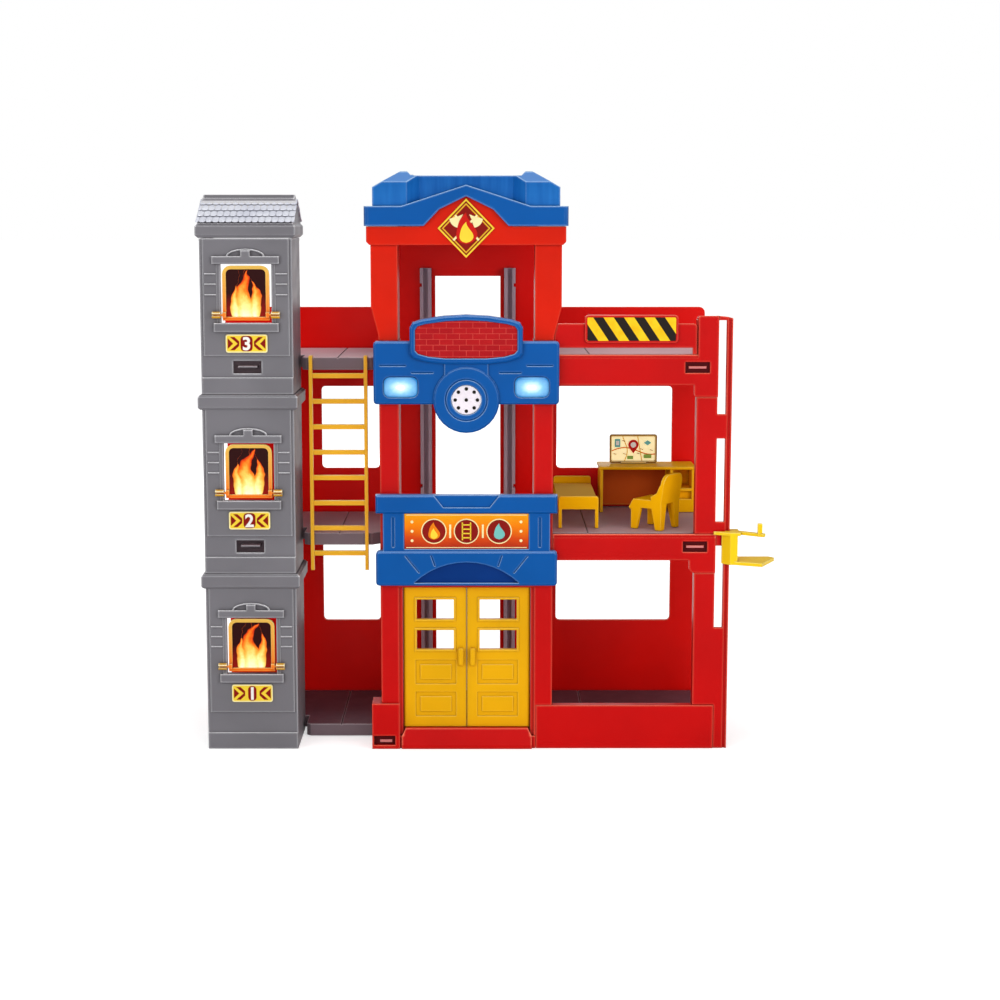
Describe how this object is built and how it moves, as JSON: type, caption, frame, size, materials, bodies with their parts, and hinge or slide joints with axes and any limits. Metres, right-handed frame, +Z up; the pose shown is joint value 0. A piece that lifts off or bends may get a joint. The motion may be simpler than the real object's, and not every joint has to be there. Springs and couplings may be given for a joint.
{
  "type": "toy fire station",
  "caption": "Toy fire station with open floors, a central tower with swinging doors, a training tower with tip-back fire targets, a hooked ladder and a sliding lift.",
  "frame": {"origin": "middle of the central tower's underside, halfway between the facade and the back wall's rear face", "axes": "+X to the right seen from the front, +Y from the facade to the back wall, +Z up"},
  "size_m": [0.4255, 0.1685, 0.4277],
  "materials": {
    "red_plastic": "moulded, satin gloss",
    "blue_plastic": "moulded, satin gloss",
    "grey_plastic": "moulded, light stone texture",
    "dark_grey_plastic": "moulded, satin",
    "floor_plastic": "moulded, fine texture",
    "door_plastic": "moulded, satin gloss",
    "yellow_plastic": "moulded, satin gloss",
    "cream_plastic": "moulded, satin gloss",
    "orange_plastic": "moulded, with a printed card",
    "sticker": "printed label",
    "white_plastic": "moulded, satin gloss",
    "lens_plastic": "translucent, polished"
  },
  "bodies": {
    "station": {"back_panel_left": "red_plastic", "back_panel_centre": "red_plastic", "back_panel_right": "red_plastic", "low_wall_right": "red_plastic", "beam_middle": "red_plastic", "beam_roof": "red_plastic", "corner_post": "red_plastic", "guard_rail": "red_plastic", "base_centre": "red_plastic", "tower_frame_lower": "red_plastic", "tower_frame_upper": "red_plastic", "sign_panel": "red_plastic", "guide_channel_left": "dark_grey_plastic", "guide_channel_right": "dark_grey_plastic", "tower_storey_1": "grey_plastic", "tower_storey_2": "grey_plastic", "tower_storey_3": "grey_plastic", "tower_roof": "grey_plastic", "floor_left_ground": "floor_plastic", "floor_left_middle": "floor_plastic", "floor_left_roof": "floor_plastic", "floor_right_ground": "floor_plastic", "floor_right_middle": "floor_plastic", "floor_right_roof": "floor_plastic", "roof_cap": "blue_plastic", "sign_fascia": "blue_plastic", "balcony_fascia": "blue_plastic", "sound_box": "blue_plastic", "battery_door": "blue_plastic", "speaker_grille": "white_plastic", "lens_left": "lens_plastic", "lens_right": "lens_plastic", "emblem_plate": "sticker", "name_plate": "sticker", "number_plate_1": "sticker", "number_plate_2": "sticker", "number_plate_3": "sticker", "pin_clip_1_left": "cream_plastic", "pin_clip_1_right": "cream_plastic", "pin_clip_2_left": "cream_plastic", "pin_clip_2_right": "cream_plastic", "pin_clip_3_left": "cream_plastic", "pin_clip_3_right": "cream_plastic"},
    "door_left": {"door_left": "door_plastic"},
    "door_right": {"door_right": "door_plastic"},
    "flap_1": {"flap_1": "orange_plastic"},
    "flap_2": {"flap_2": "orange_plastic"},
    "flap_3": {"flap_3": "orange_plastic"},
    "ladder": {"ladder": "yellow_plastic"},
    "lift_carriage": {"lift_carriage": "yellow_plastic"},
    "bed": {"bed": "yellow_plastic"},
    "desk": {"desk": "yellow_plastic", "desk_screen": "cream_plastic"},
    "chair": {"chair": "yellow_plastic"}
  },
  "joints": [
    {"name": "door_left_hinge", "type": "hinge", "parent": "station", "child": "door_left", "pos_m": [-0.0454, -0.068, 0.069], "axis": [0, 0, -1], "range_deg": [0, 90]},
    {"name": "door_right_hinge", "type": "hinge", "parent": "station", "child": "door_right", "pos_m": [0.0454, -0.068, 0.069], "axis": [0, 0, 1], "range_deg": [0, 90]},
    {"name": "flap_1_hinge", "type": "hinge", "parent": "station", "child": "flap_1", "pos_m": [-0.16, -0.0779, 0.0635], "axis": [-1, 0, 0], "range_deg": [0, 90]},
    {"name": "flap_2_hinge", "type": "hinge", "parent": "station", "child": "flap_2", "pos_m": [-0.16, -0.0779, 0.1939], "axis": [-1, 0, 0], "range_deg": [0, 90]},
    {"name": "flap_3_hinge", "type": "hinge", "parent": "station", "child": "flap_3", "pos_m": [-0.16, -0.0779, 0.3243], "axis": [-1, 0, 0], "range_deg": [0, 90]},
    {"name": "ladder_swing", "type": "hinge", "parent": "station", "child": "ladder", "pos_m": [-0.0962, -0.0349, 0.28982], "axis": [-1, 0, 0], "range_deg": [0, 45]},
    {"name": "lift_slide", "type": "slide", "parent": "station", "child": "lift_carriage", "axis": [0, 0, 1], "range_m": [-0.138, 0.155]},
    {"name": "bed_lift_off", "type": "slide", "parent": "station", "child": "bed", "axis": [0, 0, 1], "range_m": [0, 0.05]},
    {"name": "desk_lift_off", "type": "slide", "parent": "station", "child": "desk", "axis": [0, 0, 1], "range_m": [0, 0.05]},
    {"name": "chair_lift_off", "type": "slide", "parent": "station", "child": "chair", "axis": [0, 0, 1], "range_m": [0, 0.05]}
  ]
}
